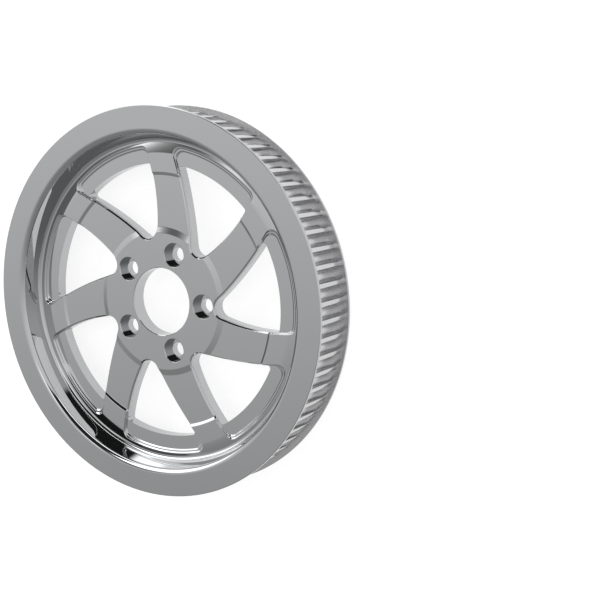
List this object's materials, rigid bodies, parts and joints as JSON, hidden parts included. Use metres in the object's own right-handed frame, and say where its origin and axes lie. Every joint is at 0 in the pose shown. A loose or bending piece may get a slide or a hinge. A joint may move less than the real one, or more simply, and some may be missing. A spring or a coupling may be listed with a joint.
{
  "type": "toothed belt pulley",
  "caption": "Flanged toothed belt pulley with a deep dish, a thin web of swept flat spokes between open windows, a round centre bore and counterbored bolt holes.",
  "frame": {"origin": "on the pulley's axis, in the plane of the rear flange's outer face, on which it lies", "axes": "+Z along the pulley's axis towards the show face; +X through the middle of one bolt hole; +Y completes a right-handed frame"},
  "size_m": [0.3176, 0.3176, 0.0468],
  "materials": {
    "plated_alloy": "cast aluminium, machined and polished, with bright mirror chrome plating all over"
  },
  "bodies": {
    "root": {"pulley": "plated_alloy"}
  },
  "joints": []
}
